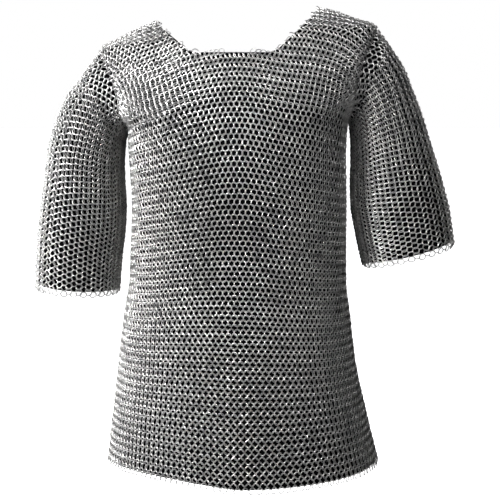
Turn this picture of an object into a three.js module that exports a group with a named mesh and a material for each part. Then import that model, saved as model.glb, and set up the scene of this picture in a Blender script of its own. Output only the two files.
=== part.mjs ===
// A short-sleeved chainmail hauberk, filled out as it is when worn, with nobody in it.
// Millimetres, +Z up, the front faces -Y. The origin is between the shoulders, where they
// hold the shirt up. "Left" and "right" are the sides seen from in front (-X and +X).
// Each panel of mail is one wall as thick as the linked rings lie.

import * as THREE from 'three';

// ---- driving sizes ----------------------------------------------------------------------

const MAIL_THICKNESS = 4;
const SEAM_GAP = 0.3;

const SHOULDER_TILT = 0.08;       // the right shoulder is carried higher: rise per mm across
const TILT_FADES_FROM = -40;      // full tilt above this height
const TILT_FADES_TO = -300;       // none below this one
const TILT_STARTS_AT = 50;        // none nearer to the centre line than this

const NECK_PEAK_X = 122;          // where the neck opening meets the shoulder ridge
const NECK_EDGE_Z = -61;          // the straight front edge of the neck opening
const NECK_EDGE_LEFT = 69;        // its two ends, measured from the centre line
const NECK_EDGE_RIGHT = 54;
const BACK_NECK_RISE = 6;         // the back edge sits this much higher than the front one

const ARMHOLE_TOP = { x: 217, z: -42 };
const ARMPIT_Z = -174;
const ARMHOLE_SCOOP = 10;         // how far the armhole's edge bows in towards the chest
const ARMPIT_ROW_CENTRE_Z = -217; // the row of rings that runs into the armpits, at the centre

const HEM_Z = -731;
const HEM_LIFT = 6;               // the front hem is drawn up a little on the left

const PANEL_COLUMNS = 28;         // facets across a front or back panel
const YOKE_ROWS = 9;              // facets from the shoulder to the armpit
const SKIRT_ROWS = 13;            // facets from the armpit to the hem
const SLEEVE_STEPS = 12;          // facets from shoulder to cuff

// Half-widths and depths of the body of the shirt, level by level, from the ridge down.
// Above the armpit the width is that of the curve which the armhole is cut out of.
const BODY_LEVELS = [
  { z: -3, left: 122, right: 122, front: 5, back: 5, squareLeft: 2.1, squareRight: 2.1 },
  { z: -11, left: 149, right: 149, front: 32, back: 28, squareLeft: 2.1, squareRight: 2.1 },
  { z: -25, left: 181, right: 181, front: 56, back: 48, squareLeft: 2.2, squareRight: 2.2 },
  { z: -42, left: 217, right: 217, front: 73, back: 66, squareLeft: 2.4, squareRight: 2.4 },
  { z: -65, left: 218, right: 219, front: 87, back: 80, squareLeft: 2.5, squareRight: 2.5 },
  { z: -108, left: 212, right: 213, front: 110, back: 100, squareLeft: 2.7, squareRight: 2.7 },
  { z: -145, left: 196, right: 196, front: 123, back: 110, squareLeft: 2.7, squareRight: 2.7 },
  { z: -174, left: 172, right: 173, front: 129, back: 114, squareLeft: 2.6, squareRight: 2.6 },
  { z: -219, left: 171, right: 170, front: 131, back: 112, squareLeft: 2.5, squareRight: 2.5 },
  { z: -295, left: 168, right: 172, front: 125, back: 102, squareLeft: 2.4, squareRight: 2.4 },
  { z: -376, left: 172, right: 173, front: 117, back: 94, squareLeft: 2.2, squareRight: 2.3 },
  { z: -426, left: 175, right: 174, front: 118, back: 99, squareLeft: 2.1, squareRight: 2.2 },
  { z: -481, left: 185, right: 181, front: 126, back: 114, squareLeft: 2.0, squareRight: 2.1 },
  { z: -562, left: 196, right: 192, front: 136, back: 132, squareLeft: 1.8, squareRight: 2.0 },
  { z: -653, left: 208, right: 213, front: 145, back: 145, squareLeft: 1.7, squareRight: 1.9 },
  { z: -739, left: 219, right: 235, front: 150, back: 153, squareLeft: 1.6, squareRight: 1.9 },
];

// Sleeve sections from just past the armhole to the cuff: the outer and inner edge of each,
// seen from in front, and how far it bulges to the front and to the back.
const LEFT_SLEEVE = [
  { outX: -249, outZ: -104, inX: -179.0, inZ: -204, front: 68, back: 66 },
  { outX: -272, outZ: -134, inX: -180.5, inZ: -222, front: 66, back: 65 },
  { outX: -288, outZ: -170, inX: -181.5, inZ: -242, front: 65, back: 64 },
  { outX: -300, outZ: -205, inX: -181.0, inZ: -263, front: 64, back: 63 },
  { outX: -308, outZ: -257, inX: -179.5, inZ: -299, front: 63, back: 62 },
  { outX: -317, outZ: -308, inX: -181.0, inZ: -335, front: 62, back: 61 },
  { outX: -325, outZ: -378, inX: -188.0, inZ: -388, front: 61, back: 60 },
  { outX: -329, outZ: -440, inX: -193.5, inZ: -448, front: 61, back: 60 },
];
const RIGHT_SLEEVE = [
  { outX: 238, outZ: -54, inX: 176.0, inZ: -174, front: 69, back: 67 },
  { outX: 260, outZ: -86, inX: 178.5, inZ: -190, front: 67, back: 66 },
  { outX: 275, outZ: -121, inX: 179.5, inZ: -207, front: 66, back: 65 },
  { outX: 291, outZ: -160, inX: 180.0, inZ: -231, front: 65, back: 64 },
  { outX: 306, outZ: -204, inX: 179.5, inZ: -261, front: 64, back: 63 },
  { outX: 323, outZ: -254, inX: 180.5, inZ: -297, front: 64, back: 63 },
  { outX: 339, outZ: -311, inX: 189.5, inZ: -350, front: 64, back: 63 },
  { outX: 349, outZ: -369, inX: 202.5, inZ: -405, front: 64, back: 63 },
];

// ---- smooth tables ----------------------------------------------------------------------

// Value of one column of a table at t, by a cubic that never overshoots its rows.
function smoothValue(knots, values, t) {
  const last = knots.length - 1;
  const rising = knots[last] > knots[0];
  const slope = (i) => (values[i + 1] - values[i]) / (knots[i + 1] - knots[i]);
  const tangent = (i) => {
    if (i === 0) return slope(0);
    if (i === last) return slope(last - 1);
    const before = slope(i - 1);
    const after = slope(i);
    return before * after <= 0 ? 0 : (2 * before * after) / (before + after);
  };
  let i = 0;
  while (i < last - 1 && (rising ? t > knots[i + 1] : t < knots[i + 1])) i += 1;
  const span = knots[i + 1] - knots[i];
  const s = THREE.MathUtils.clamp((t - knots[i]) / span, 0, 1);
  const s2 = s * s;
  const s3 = s2 * s;
  return (2 * s3 - 3 * s2 + 1) * values[i] + (s3 - 2 * s2 + s) * span * tangent(i)
    + (3 * s2 - 2 * s3) * values[i + 1] + (s3 - s2) * span * tangent(i + 1);
}

const bodyHeights = BODY_LEVELS.map((level) => level.z);

function bodyAt(z, column) {
  return smoothValue(bodyHeights, BODY_LEVELS.map((level) => level[column]), z);
}

// ---- the body of the shirt --------------------------------------------------------------

// How far out of the frontal plane the body stands at x, z. face is -1 in front, 1 behind.
function bodyDepth(x, z, face) {
  const halfWidth = bodyAt(z, x < 0 ? 'left' : 'right');
  const depth = bodyAt(z, face < 0 ? 'front' : 'back');
  const power = bodyAt(z, x < 0 ? 'squareLeft' : 'squareRight');
  const across = Math.min(Math.abs(x) / halfWidth, 1);
  return face * depth * Math.pow(1 - Math.pow(across, power), 1 / power);
}

function tilted(point) {
  const fade = THREE.MathUtils.smoothstep(-point.z, -TILT_FADES_FROM, -TILT_FADES_TO);
  const begin = THREE.MathUtils.smoothstep(Math.abs(point.x), TILT_STARTS_AT, NECK_PEAK_X);
  point.z += SHOULDER_TILT * point.x * (1 - fade) * begin;
  return point;
}

// The ridge over the shoulder: its height at a distance x from the centre line.
function ridgeHeight(x) {
  let low = ARMHOLE_TOP.z;
  let high = BODY_LEVELS[0].z;
  for (let step = 0; step < 40; step += 1) {
    const middle = (low + high) / 2;
    if (bodyAt(middle, 'left') > Math.abs(x)) low = middle;
    else high = middle;
  }
  return (low + high) / 2;
}

// Top edge of a panel, by share of the way from the centre line (0) to the armhole (1).
const RIDGE_Z = BODY_LEVELS[0].z;
const NECK_CORNER_SHARE = 0.22;
const NECK_PEAK_SHARE = 0.5;

function topEdge(share, side, face) {
  const corner = side < 0 ? NECK_EDGE_LEFT : NECK_EDGE_RIGHT;
  const neckZ = NECK_EDGE_Z + (face > 0 ? BACK_NECK_RISE : 0);
  if (share <= NECK_CORNER_SHARE) {
    return { x: side * corner * (share / NECK_CORNER_SHARE), z: neckZ };
  }
  if (share <= NECK_PEAK_SHARE) {
    const t = (share - NECK_CORNER_SHARE) / (NECK_PEAK_SHARE - NECK_CORNER_SHARE);
    return { x: side * (corner + (NECK_PEAK_X - corner) * t), z: neckZ + (RIDGE_Z - neckZ) * t };
  }
  const t = (share - NECK_PEAK_SHARE) / (1 - NECK_PEAK_SHARE);
  const x = NECK_PEAK_X + (ARMHOLE_TOP.x - NECK_PEAK_X) * t;
  return { x: side * x, z: ridgeHeight(x) };
}

// The row of rings that runs into the armpits.
function armpitRow(share, side) {
  const z = ARMPIT_ROW_CENTRE_Z + (ARMPIT_Z - ARMPIT_ROW_CENTRE_Z) * Math.pow(share, 4);
  const halfWidth = bodyAt(z, side < 0 ? 'left' : 'right');
  return { x: side * halfWidth * Math.sin((share * Math.PI) / 2), z };
}

// A point of the yoke, between the top edge (down = 0) and the armpit row (down = 1).
function yokePoint(share, side, down, face) {
  const top = topEdge(share, side, face);
  const bottom = armpitRow(share, side);
  const scoop = side * ARMHOLE_SCOOP * share * share * Math.sin(down * Math.PI);
  const x = top.x + (bottom.x - top.x) * down - scoop;
  const z = top.z + (bottom.z - top.z) * down;
  return new THREE.Vector3(x, bodyDepth(x, z, face), z);
}

// A point of the skirt, between the armpit row (down = 0) and the hem (down = 1).
function skirtPoint(share, side, down, face) {
  const top = armpitRow(share, side);
  const across = Math.sin((share * Math.PI) / 2);
  const width = side < 0 ? 'left' : 'right';
  const drawnUp = side < 0 && face < 0;
  const hemZ = HEM_Z + (drawnUp ? HEM_LIFT * Math.sin(across * Math.PI) : 0);
  const z = top.z + (hemZ - top.z) * down;
  const x = side * across * bodyAt(z, width);
  return new THREE.Vector3(x, bodyDepth(x, z, face), z);
}

// Points evenly spaced along a line that a function draws for 0 to 1.
function evenly(draw, count) {
  const fine = 160;
  const points = [];
  const lengths = [0];
  for (let i = 0; i <= fine; i += 1) {
    points.push(draw(i / fine));
    if (i > 0) lengths.push(lengths[i - 1] + points[i].distanceTo(points[i - 1]));
  }
  const result = [];
  let k = 0;
  for (let i = 0; i <= count; i += 1) {
    const target = (lengths[fine] * i) / count;
    while (k < fine - 1 && lengths[k + 1] < target) k += 1;
    const part = (target - lengths[k]) / (lengths[k + 1] - lengths[k]);
    result.push(points[k].clone().lerp(points[k + 1], THREE.MathUtils.clamp(part, 0, 1)));
  }
  return result;
}

// One column of a panel from its top edge to the hem.
function panelColumn(share, side, face) {
  const yoke = evenly((down) => yokePoint(share, side, down, face), YOKE_ROWS);
  const skirt = evenly((down) => skirtPoint(share, side, down, face), SKIRT_ROWS);
  return [...yoke, ...skirt.slice(1)].map(tilted);
}

// Points [column][row] of a panel, from its left seam to its right one.
function panelGrid(face) {
  const columns = [];
  for (let i = 0; i <= PANEL_COLUMNS; i += 1) {
    const across = (2 * i) / PANEL_COLUMNS - 1;
    columns.push(panelColumn(Math.abs(across), across < 0 ? -1 : 1, face));
  }
  return columns;
}

// ---- walls ------------------------------------------------------------------------------

// Outward normals of a grid of points, by the differences between its neighbours.
function gridNormals(grid, wrapRows, outwardSign) {
  const columns = grid.length;
  const rows = grid[0].length;
  return grid.map((column, i) => column.map((_, j) => {
    const alongColumn = new THREE.Vector3().subVectors(
      grid[i][wrapRows ? (j + 1) % rows : Math.min(j + 1, rows - 1)],
      grid[i][wrapRows ? (j + rows - 1) % rows : Math.max(j - 1, 0)],
    );
    const acrossColumns = new THREE.Vector3().subVectors(
      grid[Math.min(i + 1, columns - 1)][j],
      grid[Math.max(i - 1, 0)][j],
    );
    return alongColumn.cross(acrossColumns).multiplyScalar(outwardSign).normalize();
  }));
}

// A closed wall between an outer and an inner grid of points.
function wallGeometry(outer, inner, wrapRows) {
  const columns = outer.length;
  const rows = outer[0].length;
  const at = (layer, i, j) => layer * columns * rows + i * rows + (j % rows);
  const points = [...outer.flat(), ...inner.flat()];
  const faces = [];
  // Each facet is split along its shorter diagonal, so that two facing edges split alike.
  const quad = (a, b, c, d) => {
    const split = points[a].distanceTo(points[c]) - points[b].distanceTo(points[d]);
    if (split <= 1e-4) faces.push(a, b, c, a, c, d);
    else faces.push(a, b, d, b, c, d);
  };
  const spans = wrapRows ? rows : rows - 1;
  for (let i = 0; i < columns - 1; i += 1) {
    for (let j = 0; j < spans; j += 1) {
      quad(at(0, i, j), at(0, i, j + 1), at(0, i + 1, j + 1), at(0, i + 1, j));
      quad(at(1, i, j), at(1, i + 1, j), at(1, i + 1, j + 1), at(1, i, j + 1));
    }
  }
  for (let j = 0; j < spans; j += 1) {
    quad(at(0, 0, j), at(1, 0, j), at(1, 0, j + 1), at(0, 0, j + 1));
    const end = columns - 1;
    quad(at(0, end, j), at(0, end, j + 1), at(1, end, j + 1), at(1, end, j));
  }
  if (!wrapRows) {
    for (let i = 0; i < columns - 1; i += 1) {
      quad(at(0, i, 0), at(0, i + 1, 0), at(1, i + 1, 0), at(1, i, 0));
      const end = rows - 1;
      quad(at(0, i, end), at(1, i, end), at(1, i + 1, end), at(0, i + 1, end));
    }
  }
  const geometry = new THREE.BufferGeometry().setFromPoints(points);
  geometry.setIndex(faces);
  return geometry;
}

function movedInward(grid, normals) {
  return grid.map((column, i) => column.map(
    (point, j) => point.clone().addScaledVector(normals[i][j], -MAIL_THICKNESS),
  ));
}

function turnedInsideOut(geometry) {
  const index = geometry.getIndex();
  for (let i = 0; i < index.count; i += 3) {
    const second = index.getX(i + 1);
    index.setX(i + 1, index.getX(i + 2));
    index.setX(i + 2, second);
  }
  return geometry;
}

// ---- pieces -----------------------------------------------------------------------------

const panelGrids = { [-1]: panelGrid(-1), 1: panelGrid(1) };

// The loop of points round an armhole: down the front panel's edge and up the back one's.
function armholeLoop(side, layers) {
  const edge = side < 0 ? 0 : PANEL_COLUMNS;
  const frontEdge = layers[-1][edge].slice(0, YOKE_ROWS + 1);
  const backEdge = layers[1][edge].slice(0, YOKE_ROWS + 1).reverse();
  return [...frontEdge, ...backEdge];
}

// A section of a sleeve at t, from the armhole (0) to the cuff (1), as a loop with as many
// points as the armhole's. The ridge and the seam under the arm lie between two points.
function sleeveLoop(table, t, hole) {
  const knots = [0, ...table.map((_, i) => (i + 1) / table.length)];
  const value = (column, atArmhole) => smoothValue(
    knots,
    [atArmhole, ...table.map((row) => row[column])],
    t,
  );
  const outX = value('outX', hole[0].x);
  const outZ = value('outZ', hole[0].z);
  const inX = value('inX', hole[YOKE_ROWS].x);
  const inZ = value('inZ', hole[YOKE_ROWS].z);
  return hole.map((_, k) => {
    const turn = (2 * Math.PI * (k + 0.5)) / hole.length;
    const down = (1 - Math.cos(turn)) / 2;
    const column = Math.sin(turn) > 0 ? 'front' : 'back';
    return new THREE.Vector3(
      outX + (inX - outX) * down,
      -value(column, table[0][column]) * Math.sin(turn),
      outZ + (inZ - outZ) * down,
    );
  });
}

// Outer points [section][point] of a sleeve. The first section is the armhole.
function sleeveGrid(side, table) {
  const hole = armholeLoop(side, panelGrids);
  const sections = [hole];
  for (let i = 1; i <= SLEEVE_STEPS; i += 1) {
    sections.push(sleeveLoop(table, i / SLEEVE_STEPS, hole));
  }
  return sections;
}

const sleeveGrids = {
  [-1]: sleeveGrid(-1, LEFT_SLEEVE),
  1: sleeveGrid(1, RIGHT_SLEEVE),
};
const sleeveNormals = {
  [-1]: gridNormals(sleeveGrids[-1], true, -1),
  1: gridNormals(sleeveGrids[1], true, 1),
};

// Where two panels meet, along the shoulder ridge and down the sides, their edges stand in
// one plane each. Round an armhole the edge halves the angle between panel and sleeve.
function panelNormals(grid, face) {
  const normals = gridNormals(grid, false, -face);
  [-1, 1].forEach((side) => {
    const edge = side < 0 ? 0 : PANEL_COLUMNS;
    for (let j = 0; j <= YOKE_ROWS; j += 1) {
      const k = face < 0 ? j : 2 * YOKE_ROWS + 1 - j;
      normals[edge][j].add(sleeveNormals[side][0][k]).normalize();
    }
  });
  grid.forEach((column, i) => column.forEach((point, j) => {
    const share = Math.abs((2 * i) / PANEL_COLUMNS - 1);
    const onRidge = j === 0 && share > NECK_PEAK_SHARE - 1e-6;
    const onSide = share === 1 && j >= YOKE_ROWS;
    if (onRidge || onSide) normals[i][j].setY(0).normalize();
  }));
  return normals;
}

function panelPiece(face) {
  const outer = panelGrids[face];
  const inner = movedInward(outer, panelNormals(outer, face));
  [outer, inner].forEach((layer) => layer.forEach((column) => column.forEach((point) => {
    point.y = face * Math.max(face * point.y, SEAM_GAP / 2);
  })));
  const geometry = wallGeometry(outer, inner, false);
  return { geometry: face < 0 ? geometry : turnedInsideOut(geometry), outer, inner };
}

const front = panelPiece(-1);
const back = panelPiece(1);

function sleevePiece(side) {
  const outerHole = armholeLoop(side, { [-1]: front.outer, 1: back.outer });
  const innerHole = armholeLoop(side, { [-1]: front.inner, 1: back.inner });
  const outer = sleeveGrids[side];
  const inner = movedInward(outer, sleeveNormals[side]);
  const count = outerHole.length;
  outerHole.forEach((point, k) => {
    const along = new THREE.Vector3().subVectors(
      outerHole[(k + 1) % count],
      outerHole[(k + count - 1) % count],
    );
    const through = new THREE.Vector3().subVectors(innerHole[k], point);
    const away = along.cross(through).normalize().multiplyScalar(side * SEAM_GAP);
    outer[0][k] = point.clone().add(away);
    inner[0][k] = innerHole[k].clone().add(away);
  });
  const geometry = wallGeometry(outer, inner, true);
  return side < 0 ? turnedInsideOut(geometry) : geometry;
}

// ---- the garment ------------------------------------------------------------------------

const mail = { color: 0x8d8f92, roughness: 0.35, metalness: 1.0 };

function piece(name, geometry) {
  const mesh = new THREE.Mesh(geometry, new THREE.MeshStandardMaterial(mail));
  mesh.name = name;
  return mesh;
}

const hauberk = new THREE.Group();
hauberk.add(piece('front_panel', front.geometry));
hauberk.add(piece('back_panel', back.geometry));
hauberk.add(piece('left_sleeve', sleevePiece(-1)));
hauberk.add(piece('right_sleeve', sleevePiece(1)));

export default hauberk;
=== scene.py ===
"""A short-sleeved chainmail hauberk, filled out as it is when worn, with nobody in it.

Laid out as a Blender add-on and run as a script. Every ring of the mail is modelled: one ring
is spun as a mesh and instanced on the points of a four-in-one weave that follows the shirt's
surface. Under the rings each panel has a thin dark layer, which stands for the shade inside.
Metres, +Z up, the front faces -Y. "Left" and "right" are the sides seen from in front.
"""

import math

import bmesh
import bpy
import numpy as np
from bpy.props import (FloatProperty, FloatVectorProperty, IntProperty, PointerProperty)
from bpy.types import Operator, Panel, PropertyGroup
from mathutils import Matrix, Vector


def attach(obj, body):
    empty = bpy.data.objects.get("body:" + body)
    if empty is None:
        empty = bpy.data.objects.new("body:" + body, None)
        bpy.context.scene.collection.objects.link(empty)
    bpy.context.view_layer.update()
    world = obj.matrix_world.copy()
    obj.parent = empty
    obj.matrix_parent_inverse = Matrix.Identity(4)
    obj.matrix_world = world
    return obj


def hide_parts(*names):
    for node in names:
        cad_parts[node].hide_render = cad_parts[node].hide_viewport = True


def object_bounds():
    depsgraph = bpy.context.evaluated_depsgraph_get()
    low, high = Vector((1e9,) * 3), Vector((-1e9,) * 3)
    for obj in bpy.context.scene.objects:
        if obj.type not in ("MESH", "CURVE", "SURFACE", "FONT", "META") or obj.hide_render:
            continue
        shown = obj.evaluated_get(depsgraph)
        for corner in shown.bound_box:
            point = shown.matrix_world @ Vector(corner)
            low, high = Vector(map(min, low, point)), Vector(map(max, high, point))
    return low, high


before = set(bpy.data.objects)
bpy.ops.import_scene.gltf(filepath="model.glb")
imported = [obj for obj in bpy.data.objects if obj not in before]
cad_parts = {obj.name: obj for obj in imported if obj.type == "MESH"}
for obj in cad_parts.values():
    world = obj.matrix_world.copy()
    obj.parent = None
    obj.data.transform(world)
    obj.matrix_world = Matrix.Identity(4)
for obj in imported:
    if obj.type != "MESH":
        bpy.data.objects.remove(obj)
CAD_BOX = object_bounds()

bl_info = {
    "name": "Chainmail hauberk",
    "version": (1, 0, 0),
    "blender": (4, 5, 0),
    "location": "3D View > Sidebar > Hauberk",
    "description": "Builds a short-sleeved mail shirt of linked steel rings",
    "category": "Add Mesh",
}

MM = 0.001

# ---- the shirt's form, in millimetres ---------------------------------------------------

SHOULDER_TILT = 0.08              # the right shoulder is carried higher: rise per mm across
TILT_FADES = (40.0, 300.0)        # depth below the origin over which the tilt dies out
TILT_STARTS = (50.0, 122.0)       # distance from the centre line over which it sets in
NECK_EDGE_Z = {-1: -61.0, 1: -55.0}     # front and back edge of the neck opening
NECK_CORNER_X = {-1: 69.0, 1: 54.0}     # left and right end of that edge
NECK_PEAK_X = 122.0               # where the slanted neck edges meet the shoulder ridge
RIDGE_Z = -3.0                    # height of the ridge there
ARMHOLE_TOP_X = 217.0             # top end of the armhole, on the ridge
ARMPIT_Z = -174.0
ARMPIT_HALF_WIDTH = 172.0         # of the body, at the armpit
ARMHOLE_SCOOP = 10.0              # how far the armhole curves in towards the neck
HEM_Z = -731.0
HEM_LIFT = 6.0                    # the left side of the front hem hangs this much higher
SLEEVE_FACETS = 12                # the sleeve's first facet runs from the armhole to 1/12

# Half-widths and depths of the body, level by level.
BODY_LEVELS = np.array([
    # z, left, right, front, back, square left, square right
    (-3, 122, 122, 5, 5, 2.1, 2.1),
    (-11, 149, 149, 32, 28, 2.1, 2.1),
    (-25, 181, 181, 56, 48, 2.2, 2.2),
    (-42, 217, 217, 73, 66, 2.4, 2.4),
    (-65, 218, 219, 87, 80, 2.5, 2.5),
    (-108, 212, 213, 110, 100, 2.7, 2.7),
    (-145, 196, 196, 123, 110, 2.7, 2.7),
    (-174, 172, 173, 129, 114, 2.6, 2.6),
    (-219, 171, 170, 131, 112, 2.5, 2.5),
    (-295, 168, 172, 125, 102, 2.4, 2.4),
    (-376, 172, 173, 117, 94, 2.2, 2.3),
    (-426, 175, 174, 118, 99, 2.1, 2.2),
    (-481, 185, 181, 126, 114, 2.0, 2.1),
    (-562, 196, 192, 136, 132, 1.8, 2.0),
    (-653, 208, 213, 145, 145, 1.7, 1.9),
    (-739, 219, 235, 150, 153, 1.6, 1.9),
], float)

# Sleeve sections from past the armhole to the cuff, seen from in front, and their bulges.
SLEEVES = {
    -1: np.array([
        # out x, out z, in x, in z, front, back
        (-249, -104, -179, -204, 68, 66),
        (-272, -134, -180.5, -222, 66, 65),
        (-288, -170, -181.5, -242, 65, 64),
        (-300, -205, -181, -263, 64, 63),
        (-308, -257, -179.5, -299, 63, 62),
        (-317, -308, -181, -335, 62, 61),
        (-325, -378, -188, -388, 61, 60),
        (-329, -440, -193.5, -448, 61, 60),
    ], float),
    1: np.array([
        (238, -54, 176, -174, 69, 67),
        (260, -86, 178.5, -190, 67, 66),
        (275, -121, 179.5, -207, 66, 65),
        (291, -160, 180, -231, 65, 64),
        (306, -204, 179.5, -261, 64, 63),
        (323, -254, 180.5, -297, 64, 63),
        (339, -311, 189.5, -350, 64, 63),
        (349, -369, 202.5, -405, 64, 63),
    ], float),
}

# ---- the weave --------------------------------------------------------------------------

ARMPIT_ROW_CENTRE_Z = -136.0      # the row that runs into the armpits, at the centre line
ARCH_RISE = 16.0                  # rows arch over the chest: size and reach of the arch
ARCH_REACH = 60.0
VIRTUAL_RIDGE = 28.0              # length that the ridge rows would need to cross the neck
YOKE_ROWS = 27                    # rows from the shoulder ridge to the armpit
SKIRT_ROWS = 81                   # rows from the armpit to the hem
WAIST_ROWS = 40                   # of these, the rows above the skirt piece
WAIST_SHARE = 0.53                # share of the way from armpit to hem that they take up
HALF_COLUMNS = 58                 # rings across the front, and as many across the back
SLEEVE_ROWS = 2 * YOKE_ROWS       # rows that run along a sleeve
SLEEVE_COLUMNS = 38               # rings along a sleeve
RING_DEPTH = 1.7                  # a ring's middle lies this far under the solid's surface
SHADE_DEPTH = 4.5                 # and the dark layer's outer face this far
BACK_NECK_MARGIN = 5.0            # the back neck edge keeps this much lower than its solid
MAP_PITCH_ACROSS = 8.6            # the weave's mean pitch, for the map of the inner face
MAP_PITCH_UP = 14.6
MAP_RING_RADIUS = 5.3             # a drawn ring's middle radius and half its wire
MAP_WIRE_RADIUS = 0.8
CENTRE_SPREAD = ((-150.0, -0.08), (-380.0, 0.06), (-650.0, 0.12))   # z, extra pitch there
NECK_PEAK_SHARE = 0.5             # share of the half panel's columns inside the neck peak

RIDGE_SAMPLES = 200               # how finely curves are sampled before the rings are placed
PATH_SAMPLES = 240
PATHS_ACROSS = 161
MIDDLE_PATH = PATHS_ACROSS // 2
SLEEVE_SECTIONS = 97
FOOT_ROUNDS = 30                  # rounds in which a column's foot settles on its row

RING_NECK_SLACK = 1.0             # rings at the neck may pass its edge by this much
SHADE_NECK_REACH = 4.5            # and the dark layer stays this far inside it
SHADE_HEM_ROWS = 1.15             # the dark layer ends this many rows above the last
SHADE_CUFF_STEPS = 0.3            # and this many half columns before the cuff's end
BODY_SHADE_STEP = 4               # half columns of the weave to one step of the dark layer
SLEEVE_SHADE_STEP = 3
SHADE_ROW_STEP = 2                # and rows to one step
SHADE_WALL = 0.0006               # thickness of the dark layer, in metres
MERGE_DISTANCE = 1e-6

PLACE_JITTER = 0.12               # how unevenly the rings lie
TONE_MEAN, TONE_SPREAD = 0.55, 0.22
BODY_SEED, FACE_SEED_STEP = 11, 5
SLEEVE_SEED = 31


def smoothstep(value, start, end):
    """0 before start and 1 after end, with a smooth rise between."""
    t = np.clip((value - start) / (end - start), 0.0, 1.0)
    return t * t * (3 - 2 * t)


def smooth_value(knots, values, t):
    """One column of a table at t, by a cubic that never overshoots its rows."""
    knots, values = np.asarray(knots, float), np.asarray(values, float)
    if knots[-1] < knots[0]:
        knots, values = knots[::-1], values[::-1]
    slopes = np.diff(values) / np.diff(knots)
    tangents = np.concatenate([slopes[:1], np.zeros(len(slopes) - 1), slopes[-1:]])
    before, after = slopes[:-1], slopes[1:]
    same = before * after > 0
    total = np.where(same, before + after, 1.0)
    tangents[1:-1] = np.where(same, 2 * before * after / total, 0.0)
    i = np.clip(np.searchsorted(knots, t) - 1, 0, len(slopes) - 1)
    span = knots[i + 1] - knots[i]
    s = np.clip((t - knots[i]) / span, 0.0, 1.0)
    return ((2 * s**3 - 3 * s**2 + 1) * values[i] + (s**3 - 2 * s**2 + s) * span * tangents[i]
            + (3 * s**2 - 2 * s**3) * values[i + 1] + (s**3 - s**2) * span * tangents[i + 1])


def body_at(z, column):
    """One measure of the body at the heights z."""
    return smooth_value(BODY_LEVELS[:, 0], BODY_LEVELS[:, column], z)


def body_width(z, side):
    """Half-width of the body on the left (side below 0) or on the right."""
    return np.where(side < 0, body_at(z, 1), body_at(z, 2))


def body_depth(x, z, face):
    """How far out of the frontal plane the body stands. face is -1 in front, 1 behind."""
    power = np.where(x < 0, body_at(z, 5), body_at(z, 6))
    across = np.minimum(np.abs(x) / body_width(z, x), 1.0)
    return face * body_at(z, 3 if face < 0 else 4) * (1 - across**power) ** (1 / power)


def tilted(points):
    """The right shoulder is carried a little higher than the left one."""
    x, z = points[..., 0], points[..., 2]
    amount = (1 - smoothstep(-z, *TILT_FADES)) * smoothstep(np.abs(x), *TILT_STARTS)
    result = points.copy()
    result[..., 2] = z + SHOULDER_TILT * x * amount
    return result


def ridge_height(x):
    """Height of the shoulder ridge at a distance x from the centre line."""
    top = BODY_LEVELS[:4]
    fine = np.linspace(top[0, 0], top[-1, 0], RIDGE_SAMPLES)
    return np.interp(np.abs(x), body_at(fine, 1), fine)


def arch(x):
    """How far a row over the chest has dropped at a distance x from the centre line."""
    return ARCH_RISE * (np.sqrt(1 + (x / ARCH_REACH) ** 2) - 1)


def evenly(line, lengths, places):
    """Points of a line (n, 3) at the given places along its cumulative lengths."""
    return np.stack([np.interp(places, lengths, line[:, k]) for k in range(3)], axis=-1)


def running_length(line):
    """Length of a line from its start to each of its points."""
    return np.concatenate([[0.0], np.cumsum(np.linalg.norm(np.diff(line, axis=0), axis=1))])


def column_paths(share, face):
    """Dense paths of one column: the yoke from ridge to armpit row, and the skirt below."""
    side = -1 if share < 0 else 1
    share = abs(share)
    sweep = math.sin(share * math.pi / 2)
    foot_z = ARMPIT_ROW_CENTRE_Z
    for _ in range(FOOT_ROUNDS):
        foot_x = float(body_width(foot_z, side)) * sweep
        foot_z = ARMPIT_ROW_CENTRE_Z - arch(foot_x) * (
            (ARMPIT_ROW_CENTRE_Z - ARMPIT_Z) / arch(ARMPIT_HALF_WIDTH))
    if share < NECK_PEAK_SHARE:
        top_x = NECK_PEAK_X * share / NECK_PEAK_SHARE
    else:
        top_x = NECK_PEAK_X + (ARMHOLE_TOP_X - NECK_PEAK_X) * (
            share - NECK_PEAK_SHARE) / (1 - NECK_PEAK_SHARE)
    top_z = RIDGE_Z if top_x < NECK_PEAK_X else float(ridge_height(top_x))
    down = np.linspace(0, 1, PATH_SAMPLES)
    x = top_x + (foot_x - top_x) * down - ARMHOLE_SCOOP * share**2 * np.sin(down * np.pi)
    z = top_z + (foot_z - top_z) * down
    yoke = np.stack([side * x, body_depth(side * x, z, face), z], axis=-1)
    lift = HEM_LIFT * math.sin(sweep * math.pi) if side < 0 and face < 0 else 0.0
    z = foot_z + (HEM_Z + lift - foot_z) * down
    x = side * sweep * body_width(z, side)
    skirt = np.stack([x, body_depth(x, z, face), z], axis=-1)
    return yoke, skirt


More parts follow.
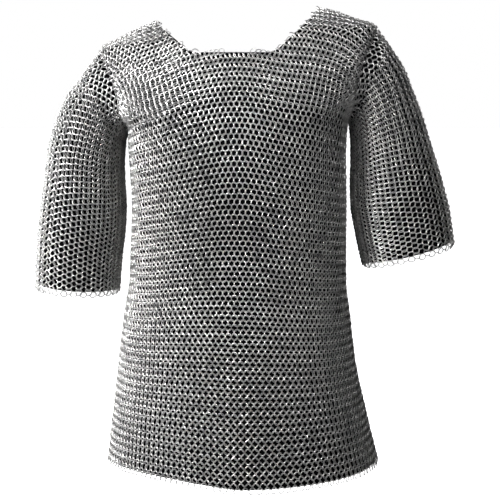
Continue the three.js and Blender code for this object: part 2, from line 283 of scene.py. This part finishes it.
def body_lattice(face, ring_reach):
    """Points [row][half column] of the front or back, before the weave picks its rings."""
    shares = np.linspace(-1, 1, PATHS_ACROSS)
    rows = []
    for share in shares:
        yoke, skirt = column_paths(share, face)
        path = np.concatenate([yoke, skirt[1:]])
        lengths = running_length(path)
        top_x = abs(yoke[0, 0])
        missing = VIRTUAL_RIDGE * max(0.0, 1 - (top_x / NECK_PEAK_X) ** 2)
        armpit, end = lengths[len(yoke) - 1], lengths[-1] - ring_reach
        knots = (0, YOKE_ROWS, YOKE_ROWS + WAIST_ROWS, YOKE_ROWS + SKIRT_ROWS)
        waist = armpit + (end - armpit) * WAIST_SHARE
        places = smooth_value(knots, (-missing, armpit, waist, end), np.arange(knots[-1] + 1))
        rows.append(evenly(path, lengths, places))
    dense = np.stack(rows, axis=1)
    half_steps = np.linspace(-1, 1, 2 * HALF_COLUMNS + 1)
    spread_z = [row[0] for row in CENTRE_SPREAD][::-1]
    spread_by = [row[1] for row in CENTRE_SPREAD][::-1]
    lattice = []
    for line in dense:
        lengths = running_length(line)
        middle = lengths[MIDDLE_PATH]
        extra = np.interp(line[MIDDLE_PATH, 2], spread_z, spread_by)
        share = np.abs(half_steps)
        eased = share * (1 + extra * (1 - share))
        span = np.where(half_steps < 0, middle, lengths[-1] - middle)
        lattice.append(evenly(line, lengths, middle + np.sign(half_steps) * eased * span))
    return tilted(np.stack(lattice))


def sleeve_lattice(side, hole, ring_reach):
    """Points [row][half column] of a sleeve. hole is the loop of the armhole's rows."""
    table = SLEEVES[side]
    knots = np.linspace(0, 1, len(table) + 1)
    turn = 2 * np.pi * np.arange(SLEEVE_ROWS) / SLEEVE_ROWS
    down = (1 - np.cos(turn)) / 2
    top, armpit = hole[0], hole[YOKE_ROWS]

    def loop(t):
        start = (top[0], top[2], armpit[0], armpit[2], table[0, 4], table[0, 5])
        row = [float(smooth_value(knots, np.concatenate([[start[k]], table[:, k]]), t))
               for k in range(6)]
        bulge = np.where(np.sin(turn) > 0, row[4], row[5])
        return np.stack([row[0] + (row[2] - row[0]) * down, -bulge * np.sin(turn),
                         row[1] + (row[3] - row[1]) * down], axis=-1)

    first = 1 / SLEEVE_FACETS
    sections = []
    for t in np.linspace(0, 1, SLEEVE_SECTIONS):
        blend = min(t / first, 1.0)
        sections.append(hole * (1 - blend) + loop(max(t, first)) * blend if blend < 1 else loop(t))
    dense = np.stack(sections, axis=1)
    lattice = []
    for line in dense:
        lengths = running_length(line)
        places = (lengths[-1] - ring_reach) * np.arange(2 * SLEEVE_COLUMNS + 1)
        lattice.append(evenly(line, lengths, places / (2 * SLEEVE_COLUMNS)))
    return np.stack(lattice)


def unit(vectors):
    """The vectors at a length of one."""
    return vectors / np.maximum(np.linalg.norm(vectors, axis=-1, keepdims=True), 1e-9)


def lattice_frames(grid, closed, outward):
    """Unit vectors along the rows, down the columns and outwards, at each lattice point."""
    along = unit(np.gradient(grid, axis=1))
    if closed:
        down = unit(np.roll(grid, -1, axis=0) - np.roll(grid, 1, axis=0))
    else:
        down = unit(np.gradient(grid, axis=0))
    out = unit(np.cross(along, down)) * outward
    return along, unit(np.cross(out, along)), out


def under_neck_edge(points, face, reach):
    """How far a body point is below the edge of the neck opening, in the frontal plane."""
    x, z = points[..., 0], points[..., 2]
    corner = np.where(x < 0, NECK_CORNER_X[-1], NECK_CORNER_X[1])
    edge = NECK_EDGE_Z[face]
    slope = (RIDGE_Z - edge) / (NECK_PEAK_X - corner)
    tilt = SHOULDER_TILT * x * smoothstep(np.abs(x), *TILT_STARTS)
    diagonal = edge + slope * (np.abs(x) - corner)
    below_slanted = (diagonal - (z - tilt)) / np.hypot(1, slope)
    below = np.where(np.abs(x) > corner, below_slanted, edge - z)
    return np.where(np.abs(x) > NECK_PEAK_X + reach, 1e3, below - reach)


# ---- settings ---------------------------------------------------------------------------

class HauberkRings(PropertyGroup):
    """Sizes of one ring of the mail."""
    inside_diameter: FloatProperty(
        name="Inside diameter", description="Clear width inside a ring",
        default=0.009, min=0.004, unit="LENGTH")
    wire_diameter: FloatProperty(
        name="Wire", description="Thickness of the wire",
        default=0.0016, min=0.0005, unit="LENGTH")
    facets: IntProperty(
        name="Facets", description="Straight pieces that a ring is made of", default=10, min=6)
    wire_sides: IntProperty(
        name="Wire sides", description="Sides of the wire's section", default=3, min=3)
    lean: FloatProperty(
        name="Lean", description="How far the rings of a row lean over each other",
        default=math.radians(25), subtype="ANGLE")
    unevenness: FloatProperty(
        name="Unevenness", description="How unevenly the rings lean",
        default=math.radians(3.5), subtype="ANGLE")


class HauberkFinish(PropertyGroup):
    """Colours and gloss of the steel and of the shade inside."""
    steel: FloatVectorProperty(
        name="Steel", description="Colour of the wire", subtype="COLOR",
        default=(0.74, 0.73, 0.72), size=3)
    worn: FloatVectorProperty(
        name="Worn steel", description="Colour of the duller rings", subtype="COLOR",
        default=(0.34, 0.34, 0.35), size=3)
    roughness: FloatProperty(
        name="Roughness", description="Roughness of the wire", default=0.28, min=0, max=1)
    shade: FloatVectorProperty(
        name="Shade", description="Colour between the rings", subtype="COLOR",
        default=(0.002, 0.002, 0.0025), size=3)


class HauberkStudio(PropertyGroup):
    """Floor, lights and camera."""
    backdrop: FloatVectorProperty(
        name="Backdrop", description="Colour of the floor and backdrop", subtype="COLOR",
        default=(0.93, 0.93, 0.93), size=3)
    key_power: FloatProperty(
        name="Key light", description="Power of the light from the front left",
        default=95.0, unit="POWER")
    lens: FloatProperty(
        name="Lens", description="Focal length of the camera", default=67.46,
        subtype="DISTANCE_CAMERA", unit="CAMERA")
    camera_distance: FloatProperty(
        name="Camera distance", description="From the camera to the shirt's middle plane",
        default=1.5, unit="LENGTH")
    camera_side: FloatProperty(
        name="Camera side", description="How far right of the middle the camera stands",
        default=0.0192, unit="LENGTH")
    camera_height: FloatProperty(
        name="Camera height", description="Height of the camera, at the chest",
        default=-0.16, unit="LENGTH")
    camera_pitch: FloatProperty(
        name="Camera pitch", description="How far the camera looks down",
        default=math.radians(8.2), subtype="ANGLE")


# ---- materials --------------------------------------------------------------------------

def new_material(name):
    """A node material, its tree and its shader."""
    material = bpy.data.materials.new(name)
    material.use_nodes = True
    tree = material.node_tree
    return material, tree, tree.nodes["Principled BSDF"]


def steel_material():
    """Worn bright steel wire: rings differ a little, and fine scratches break the gloss."""
    finish = bpy.context.scene.hauberk_finish
    material, tree, shader = new_material("ring_steel")
    nodes, links = tree.nodes, tree.links
    shader.inputs["Metallic"].default_value = 1.0
    tone = nodes.new("ShaderNodeAttribute")
    tone.attribute_name = "tone"
    ramp = nodes.new("ShaderNodeValToRGB")
    ramp.color_ramp.elements[0].color = (*finish.worn, 1)
    ramp.color_ramp.elements[1].color = (*finish.steel, 1)
    ramp.color_ramp.elements[1].position = 0.6
    links.new(tone.outputs["Fac"], ramp.inputs["Fac"])
    links.new(ramp.outputs["Color"], shader.inputs["Base Color"])
    place = nodes.new("ShaderNodeTexCoord")
    scratches = nodes.new("ShaderNodeTexNoise")
    scratches.inputs["Scale"].default_value = 900.0
    scratches.inputs["Detail"].default_value = 3.0
    links.new(place.outputs["Object"], scratches.inputs["Vector"])
    gloss = nodes.new("ShaderNodeMapRange")
    gloss.inputs["To Min"].default_value = finish.roughness - 0.08
    gloss.inputs["To Max"].default_value = finish.roughness + 0.12
    links.new(scratches.outputs["Fac"], gloss.inputs["Value"])
    links.new(gloss.outputs["Result"], shader.inputs["Roughness"])
    bump = nodes.new("ShaderNodeBump")
    bump.inputs["Strength"].default_value = 0.15
    bump.inputs["Distance"].default_value = 0.0002
    links.new(scratches.outputs["Fac"], bump.inputs["Height"])
    links.new(bump.outputs["Normal"], shader.inputs["Normal"])
    return material


def math_node(tree, operation, *values):
    """The output of a math node whose inputs are numbers or sockets."""
    node = tree.nodes.new("ShaderNodeMath")
    node.operation = operation
    for socket, value in zip(node.inputs, values):
        if isinstance(value, (int, float)):
            socket.default_value = value
        else:
            tree.links.new(value, socket)
    return node.outputs[0]


def shade_material():
    """The shade between the rings: nearly black, a little uneven."""
    finish = bpy.context.scene.hauberk_finish
    material, tree, shader = new_material("mail_shade")
    place = tree.nodes.new("ShaderNodeTexCoord")
    cloud = tree.nodes.new("ShaderNodeTexNoise")
    cloud.inputs["Scale"].default_value = 120.0
    tree.links.new(place.outputs["Object"], cloud.inputs["Vector"])
    ramp = tree.nodes.new("ShaderNodeValToRGB")
    ramp.color_ramp.elements[0].color = (*[0.4 * part for part in finish.shade], 1)
    ramp.color_ramp.elements[1].color = (*finish.shade, 1)
    tree.links.new(cloud.outputs["Fac"], ramp.inputs["Fac"])
    tree.links.new(ramp.outputs["Color"], shader.inputs["Base Color"])
    shader.inputs["Roughness"].default_value = 0.8
    shader.inputs["Specular IOR Level"].default_value = 0.05
    return material


def ring_pattern(tree, weave):
    """1 on the wires of the weave's rings and 0 between them, from the map of the rows."""
    parts = tree.nodes.new("ShaderNodeSeparateXYZ")
    tree.links.new(weave, parts.inputs["Vector"])
    wires = []
    for shift in (0.0, 1.0):
        across = math_node(tree, "ADD", parts.outputs["X"], 0.5 * shift + 0.5)
        across = math_node(tree, "SUBTRACT", math_node(tree, "FRACT", across), 0.5)
        up = math_node(tree, "MULTIPLY_ADD", parts.outputs["Y"], 0.5, 0.5 * shift + 0.5)
        up = math_node(tree, "SUBTRACT", math_node(tree, "FRACT", up), 0.5)
        across = math_node(tree, "MULTIPLY", across, MAP_PITCH_ACROSS)
        up = math_node(tree, "MULTIPLY", up, MAP_PITCH_UP)
        squares = math_node(tree, "MULTIPLY_ADD", across, across,
                            math_node(tree, "MULTIPLY", up, up))
        radius = math_node(tree, "SQRT", squares)
        from_wire = math_node(tree, "SUBTRACT", radius, MAP_RING_RADIUS)
        away = math_node(tree, "ABSOLUTE", from_wire)
        wires.append(math_node(tree, "LESS_THAN", away, MAP_WIRE_RADIUS))
    return math_node(tree, "MAXIMUM", *wires)


def inside_material():
    """The inner face of the mail: wires of the weave, grey on the black of the painted shade, in
    low relief.
    """
    finish = bpy.context.scene.hauberk_finish
    material, tree, shader = new_material("mail_inside")
    weave = tree.nodes.new("ShaderNodeUVMap")
    weave.uv_map = "weave"
    wires = ring_pattern(tree, weave.outputs["UV"])
    ramp = tree.nodes.new("ShaderNodeValToRGB")
    # the black between the drawn wires is the painted shade colour
    ramp.color_ramp.elements[0].color = (*finish.shade, 1)
    ramp.color_ramp.elements[1].color = (*[0.6 * part for part in finish.steel], 1)
    tree.links.new(wires, ramp.inputs["Fac"])
    tree.links.new(ramp.outputs["Color"], shader.inputs["Base Color"])
    tree.links.new(wires, shader.inputs["Metallic"])
    bump = tree.nodes.new("ShaderNodeBump")
    bump.inputs["Strength"].default_value = 0.6
    bump.inputs["Distance"].default_value = 0.001
    tree.links.new(wires, bump.inputs["Height"])
    tree.links.new(bump.outputs["Normal"], shader.inputs["Normal"])
    shader.inputs["Roughness"].default_value = 0.4
    return material


def material_of(name, make):
    """The material of this name, made at its first use."""
    return bpy.data.materials.get(name) or make()


# ---- meshes -----------------------------------------------------------------------------

def add_object(name, mesh, material):
    """An object at the origin, with one material."""
    obj = bpy.data.objects.new(name, mesh)
    bpy.context.collection.objects.link(obj)
    mesh.materials.clear()
    mesh.materials.append(material)
    return obj


def ring_mesh():
    """One ring round the Z axis: a wire section spun a full turn."""
    rings = bpy.context.scene.hauberk_rings
    wire = rings.wire_diameter / 2
    middle = rings.inside_diameter / 2 + wire
    bm = bmesh.new()
    turn = math.pi * 2 / rings.wire_sides
    section = [bm.verts.new((middle + wire * math.sin(k * turn), 0, wire * math.cos(k * turn)))
               for k in range(rings.wire_sides)]
    edges = [bm.edges.new((section[k], section[k - 1])) for k in range(rings.wire_sides)]
    bmesh.ops.spin(bm, geom=section + edges, cent=(0, 0, 0), axis=(0, 0, 1), dvec=(0, 0, 0),
                   angle=math.pi * 2, steps=rings.facets, use_merge=True, use_duplicate=False)
    bmesh.ops.remove_doubles(bm, verts=bm.verts, dist=wire * 0.01)
    bmesh.ops.recalc_face_normals(bm, faces=bm.faces)
    for face in bm.faces:
        face.smooth = True
    mesh = bpy.data.meshes.new("ring")
    bm.to_mesh(mesh)
    bm.free()
    return mesh


def instancing_group(ring):
    """Geometry nodes that put a ring on each point, turned by two attributes, as one mesh."""
    group = bpy.data.node_groups.new("rings_on_weave", "GeometryNodeTree")
    group.interface.new_socket("Geometry", in_out="INPUT", socket_type="NodeSocketGeometry")
    group.interface.new_socket("Geometry", in_out="OUTPUT", socket_type="NodeSocketGeometry")
    nodes, links = group.nodes, group.links
    source, result = nodes.new("NodeGroupInput"), nodes.new("NodeGroupOutput")
    shape = nodes.new("GeometryNodeObjectInfo")
    shape.inputs["Object"].default_value = ring
    turn = nodes.new("FunctionNodeAxesToRotation")
    turn.primary_axis, turn.secondary_axis = "Z", "X"
    for socket, name in zip(turn.inputs, ("ring_axis", "ring_side")):
        read = nodes.new("GeometryNodeInputNamedAttribute")
        read.data_type = "FLOAT_VECTOR"
        read.inputs["Name"].default_value = name
        links.new(read.outputs["Attribute"], socket)
    place = nodes.new("GeometryNodeInstanceOnPoints")
    realize = nodes.new("GeometryNodeRealizeInstances")
    links.new(source.outputs[0], place.inputs["Points"])
    links.new(shape.outputs["Geometry"], place.inputs["Instance"])
    links.new(turn.outputs["Rotation"], place.inputs["Rotation"])
    links.new(place.outputs["Instances"], realize.inputs["Geometry"])
    links.new(realize.outputs["Geometry"], result.inputs[0])
    return group


def rings_on(name, points, axes, sides, tones):
    """A piece of mail: a ring on every point, with its own tone."""
    seeds = bpy.data.meshes.new(name + "_points")
    seeds.vertices.add(len(points))
    seeds.vertices.foreach_set("co", (points * MM).astype(np.float32).ravel())
    for label, values in (("ring_axis", axes), ("ring_side", sides)):
        layer = seeds.attributes.new(label, "FLOAT_VECTOR", "POINT")
        layer.data.foreach_set("vector", values.astype(np.float32).ravel())
    layer = seeds.attributes.new("tone", "FLOAT", "POINT")
    layer.data.foreach_set("value", tones.astype(np.float32))
    steel = material_of("ring_steel", steel_material)
    template = add_object(name + "_ring", ring_mesh(), steel)
    obj = add_object(name, seeds, steel)
    weave = obj.modifiers.new("Rings", "NODES")
    group = instancing_group(template)
    weave.node_group = group
    dg = bpy.context.evaluated_depsgraph_get()
    mesh = bpy.data.meshes.new_from_object(obj.evaluated_get(dg), depsgraph=dg)
    obj.modifiers.clear()
    obj.data = mesh
    mesh.name = name
    mesh.materials.clear()
    mesh.materials.append(steel)
    for spare in ("ring_axis", "ring_side"):
        if spare in mesh.attributes:
            mesh.attributes.remove(mesh.attributes[spare])
    bpy.data.objects.remove(template)
    bpy.data.node_groups.remove(group)
    bpy.data.meshes.remove(seeds)
    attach(obj, "root")
    return obj


def woven(name, grid, frames, keep, seed):
    """Rings on every other half step of a lattice, leaning one way in even rows and the
    other way in odd ones."""
    rings = bpy.context.scene.hauberk_rings
    along, down, out = frames
    row, column = np.nonzero(keep)
    chance = np.random.default_rng(seed)
    count = len(row)
    lean = rings.lean + chance.normal(0, rings.unevenness, count)
    lean = lean * np.where(row % 2 == 0, 1, -1)
    nod = chance.normal(0, rings.unevenness, count)
    t, c, n = along[row, column], down[row, column], out[row, column]
    axis = unit(n * np.cos(lean)[:, None] + t * np.sin(lean)[:, None] + c * nod[:, None])
    points = grid[row, column] - n * RING_DEPTH
    points = points + chance.normal(0, PLACE_JITTER, points.shape)
    tones = np.clip(chance.normal(TONE_MEAN, TONE_SPREAD, count), 0, 1)
    return rings_on(name, points, axis, c, tones)


def layer_under(name, grid, frames, rows_uv, columns_uv, closed):
    """The dark layer under a panel's rings: a grid bent to the lattice, then given a wall."""
    _, _, out = frames
    points = (grid - out * SHADE_DEPTH) * MM
    rows, columns = grid.shape[:2]
    bm = bmesh.new()
    bmesh.ops.create_grid(bm, x_segments=columns - 1, y_segments=rows - 1 + closed, size=1)
    bm.verts.ensure_lookup_table()
    uv = bm.loops.layers.uv.new("weave")
    for index, vert in enumerate(bm.verts):
        vert.co = points[(index // columns) % rows, index % columns]
    for face in bm.faces:
        face.smooth = True
        for loop in face.loops:
            row, column = divmod(loop.vert.index, columns)
            loop[uv].uv = (columns_uv[column], rows_uv[row, column])
    if closed:
        bmesh.ops.remove_doubles(bm, verts=bm.verts, dist=MERGE_DISTANCE)
    bm.normal_update()
    bmesh.ops.recalc_face_normals(bm, faces=bm.faces)
    bm.faces.ensure_lookup_table()
    face = bm.faces[len(bm.faces) // 2]
    centre = np.array(face.calc_center_median()) / MM
    nearest = np.argmin(np.linalg.norm(grid.reshape(-1, 3) - centre, axis=1))
    if np.dot(out.reshape(-1, 3)[nearest], np.array(face.normal)) < 0:
        bmesh.ops.reverse_faces(bm, faces=bm.faces)
    mesh = bpy.data.meshes.new(name)
    bm.to_mesh(mesh)
    bm.free()
    obj = add_object(name, mesh, material_of("mail_shade", shade_material))
    mesh.materials.append(material_of("mail_inside", inside_material))
    wall = obj.modifiers.new("Wall", "SOLIDIFY")
    wall.thickness = SHADE_WALL
    wall.offset = -1
    wall.material_offset = 1
    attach(obj, "root")
    return obj


# ---- the panels -------------------------------------------------------------------------

def ring_reach():
    """From a ring's middle to its outer edge."""
    rings = bpy.context.scene.hauberk_rings
    return (rings.inside_diameter / 2 + rings.wire_diameter) / MM


def weave_mask(grid):
    """The lattice points that carry a ring: every other half step of each row."""
    row, column = np.indices(grid.shape[:2])
    return (row + column) % 2 == 0


def clipped_lattice(grid, face, step):
    """Every few half columns, with each column starting at the edge of the neck opening."""
    picked = grid[:, ::step]
    reach = SHADE_NECK_REACH + (BACK_NECK_MARGIN if face > 0 else 0.0)
    below = under_neck_edge(picked, face, reach)
    rows, columns = picked.shape[:2]
    yoke_steps = YOKE_ROWS // SHADE_ROW_STEP + 1
    skirt_steps = (rows - 1 - YOKE_ROWS) // SHADE_ROW_STEP + 1
    result = np.zeros((yoke_steps + skirt_steps, columns, 3))
    row_map = np.zeros(result.shape[:2])
    for c in range(columns):
        start = 0.0
        if below[0, c] < 0:
            j = int(np.argmax(below[:, c] > 0))
            start = j - below[j, c] / (below[j, c] - below[j - 1, c])
        upper = np.linspace(start, YOKE_ROWS, yoke_steps)
        lower = np.linspace(YOKE_ROWS, rows - SHADE_HEM_ROWS, skirt_steps + 1)[1:]
        places = np.concatenate([upper, lower])
        row_map[:, c] = places
        for k in range(3):
            result[:, c, k] = np.interp(places, np.arange(rows), picked[:, c, k])
    return result, row_map


def make_body(face):
    """Rings and dark layer of the front (face -1) or of the back (face 1)."""
    side_name = "front" if face < 0 else "back"
    grid = body_lattice(face, ring_reach())
    frames = lattice_frames(grid, False, face)
    margin = ring_reach() - RING_NECK_SLACK + (BACK_NECK_MARGIN if face > 0 else 0.0)
    keep = weave_mask(grid) & (under_neck_edge(grid, face, margin) > 0)
    if face > 0:
        keep[0] = False
        keep[YOKE_ROWS:, 0] = False
        keep[YOKE_ROWS:, -1] = False
    rows = np.arange(len(grid))[:, None]
    waist_end = YOKE_ROWS + WAIST_ROWS
    bands = (("yoke", rows < YOKE_ROWS), ("waist", (rows >= YOKE_ROWS) & (rows < waist_end)),
             ("skirt", rows >= waist_end))
    seed = BODY_SEED + FACE_SEED_STEP * face
    pieces = [woven(f"{side_name}_{label}_rings", grid, frames, keep & band, seed + k)
              for k, (label, band) in enumerate(bands)]
    clipped, row_map = clipped_lattice(grid, face, BODY_SHADE_STEP)
    columns = np.arange(clipped.shape[1]) * (BODY_SHADE_STEP / 2)
    layer = layer_under(f"{side_name}_shade", clipped, lattice_frames(clipped, False, face),
                        row_map, columns, False)
    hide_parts(f"{side_name}_panel")


def make_sleeve(side, fronts, backs):
    """Rings and dark layer of a sleeve, which starts at the body's outermost columns."""
    name = "left" if side < 0 else "right"
    edge = 0 if side < 0 else -1
    hole = np.concatenate([fronts[:YOKE_ROWS + 1, edge], backs[1:YOKE_ROWS, edge][::-1]])
    grid = sleeve_lattice(side, hole, ring_reach())
    frames = lattice_frames(grid, True, -side)
    keep = weave_mask(grid)
    keep[:, 0] = False
    pieces = [woven(f"{name}_sleeve_rings", grid, frames, keep, SLEEVE_SEED + side)]
    thin = grid[::SHADE_ROW_STEP, ::SLEEVE_SHADE_STEP]
    row_numbers = np.arange(len(thin) + 1, dtype=float) * SHADE_ROW_STEP
    rows_uv = np.repeat(row_numbers[:, None], thin.shape[1], axis=1)
    last = (2 * SLEEVE_COLUMNS - SHADE_CUFF_STEPS) / SLEEVE_SHADE_STEP
    places = np.linspace(0.0, last, thin.shape[1])
    thin = np.stack([evenly(line, np.arange(len(line), dtype=float), places)
                     for line in thin])
    layer = layer_under(f"{name}_sleeve_shade", thin, lattice_frames(thin, True, -side),
                        rows_uv, places * (SLEEVE_SHADE_STEP / 2), True)
    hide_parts(f"{name}_sleeve")


class HAUBERK_OT_body(Operator):
    """Build the rings and the dark layer of the front and of the back"""
    bl_idname = "hauberk.body"
    bl_label = "Front and back"

    def execute(self, context):
        for face in (-1, 1):
            make_body(face)
        return {"FINISHED"}


class HAUBERK_OT_sleeves(Operator):
    """Build the rings and the dark layer of both sleeves"""
    bl_idname = "hauberk.sleeves"
    bl_label = "Sleeves"

    def execute(self, context):
        fronts, backs = (body_lattice(face, ring_reach()) for face in (-1, 1))
        for side in (-1, 1):
            make_sleeve(side, fronts, backs)
        return {"FINISHED"}


# ---- the stage --------------------------------------------------------------------------

SHIRT_MIDDLE = (0, 0, -0.35)      # what the lights point at
LIGHT_SIZE = 0.8
LIGHTS = (                        # name, place, share of the key light's power
    ("key", (-2.0, -1.3, 0.5), 1.0),
    ("top", (0.2, -0.9, 1.8), 0.15),
    ("back_left", (-1.5, 1.4, 0.5), 0.6),
)
BRIGHT_SIDE = (-0.76, -0.60, 0.25)  # towards the bright end of the room: front, left, above
FLOOR_HALF_SIZE = 60
FLOOR_DROP = 0.35                 # from the hem down to the floor
SENSOR_WIDTH = 36.0


def add_light(name, place, power):
    """A square light that points at the shirt's middle."""
    light = bpy.data.lights.new(name, "AREA")
    light.size, light.energy = LIGHT_SIZE, power
    obj = bpy.data.objects.new(name, light)
    bpy.context.collection.objects.link(obj)
    obj.location = place
    aim = Vector(SHIRT_MIDDLE) - Vector(place)
    obj.rotation_euler = aim.to_track_quat("-Z", "Y").to_euler()


def studio_world():
    """A white room, brighter at the front left for what the steel reflects."""
    world = bpy.data.worlds.new("studio")
    world.use_nodes = True
    tree = world.node_tree
    shader = tree.nodes["Background"]
    place = tree.nodes.new("ShaderNodeTexCoord")
    toward = tree.nodes.new("ShaderNodeVectorMath")
    toward.operation = "DOT_PRODUCT"
    toward.inputs[1].default_value = BRIGHT_SIDE
    tree.links.new(place.outputs["Generated"], toward.inputs[0])
    room = tree.nodes.new("ShaderNodeMapRange")
    room.inputs["From Min"].default_value = -0.2
    room.inputs["From Max"].default_value = 0.9
    room.inputs["To Min"].default_value = 0.0
    room.inputs["To Max"].default_value = 1.15
    tree.links.new(toward.outputs["Value"], room.inputs["Value"])
    rays = tree.nodes.new("ShaderNodeLightPath")
    strength = math_node(tree, "MAXIMUM", rays.outputs["Is Camera Ray"], room.outputs["Result"])
    shader.inputs["Color"].default_value = (1, 1, 1, 1)
    tree.links.new(strength, shader.inputs["Strength"])
    return world


class HAUBERK_OT_studio(Operator):
    """Set up the floor, the backdrop, the lights and the camera"""
    bl_idname = "hauberk.studio"
    bl_label = "Studio"

    def execute(self, context):
        studio = context.scene.hauberk_studio
        bm = bmesh.new()
        bmesh.ops.create_grid(bm, x_segments=1, y_segments=1, size=FLOOR_HALF_SIZE)
        for vert in bm.verts:
            vert.co.z = CAD_BOX[0].z - FLOOR_DROP
        mesh = bpy.data.meshes.new("floor")
        bm.to_mesh(mesh)
        bm.free()
        material, _, shader = new_material("studio_floor")
        shader.inputs["Base Color"].default_value = (*studio.backdrop, 1)
        shader.inputs["Roughness"].default_value = 0.9
        shader.inputs["Emission Color"].default_value = (1, 1, 1, 1)
        shader.inputs["Emission Strength"].default_value = 0.9
        floor = add_object("floor", mesh, material)
        floor.visible_glossy = floor.visible_diffuse = False

        context.scene.world = studio_world()
        context.scene.view_settings.view_transform = "Standard"
        for name, place, share in LIGHTS:
            add_light(name, place, studio.key_power * share)

        data = bpy.data.cameras.new("camera")
        data.lens, data.sensor_width = studio.lens, SENSOR_WIDTH
        camera = bpy.data.objects.new("camera", data)
        camera.location = (studio.camera_side, -studio.camera_distance, studio.camera_height)
        camera.rotation_euler = (math.pi / 2 - studio.camera_pitch, 0, 0)
        context.collection.objects.link(camera)
        context.scene.camera = camera
        return {"FINISHED"}


class HAUBERK_PT_panel(Panel):
    """Shows the hauberk's settings and the buttons of its steps"""
    bl_idname = "HAUBERK_PT_panel"
    bl_label = "Chainmail hauberk"
    bl_space_type = "VIEW_3D"
    bl_region_type = "UI"
    bl_category = "Hauberk"

    def draw(self, context):
        layout = self.layout
        for group in (context.scene.hauberk_rings, context.scene.hauberk_finish,
                      context.scene.hauberk_studio):
            box = layout.box()
            for name in type(group).__annotations__:
                box.prop(group, name)
        for operator in STEPS:
            layout.operator(operator.bl_idname)


STEPS = (HAUBERK_OT_body, HAUBERK_OT_sleeves, HAUBERK_OT_studio)
GROUPS = {"hauberk_rings": HauberkRings, "hauberk_finish": HauberkFinish,
          "hauberk_studio": HauberkStudio}


def register():
    for cls in (*GROUPS.values(), *STEPS, HAUBERK_PT_panel):
        bpy.utils.register_class(cls)
    for name, cls in GROUPS.items():
        setattr(bpy.types.Scene, name, PointerProperty(type=cls))


def unregister():
    for name in GROUPS:
        delattr(bpy.types.Scene, name)
    for cls in reversed((*GROUPS.values(), *STEPS, HAUBERK_PT_panel)):
        bpy.utils.unregister_class(cls)


def main():
    register()
    bpy.ops.hauberk.body()
    bpy.ops.hauberk.sleeves()
    bpy.ops.hauberk.studio()
    bpy.context.view_layer.update()


if __name__ == "__main__":
    main()
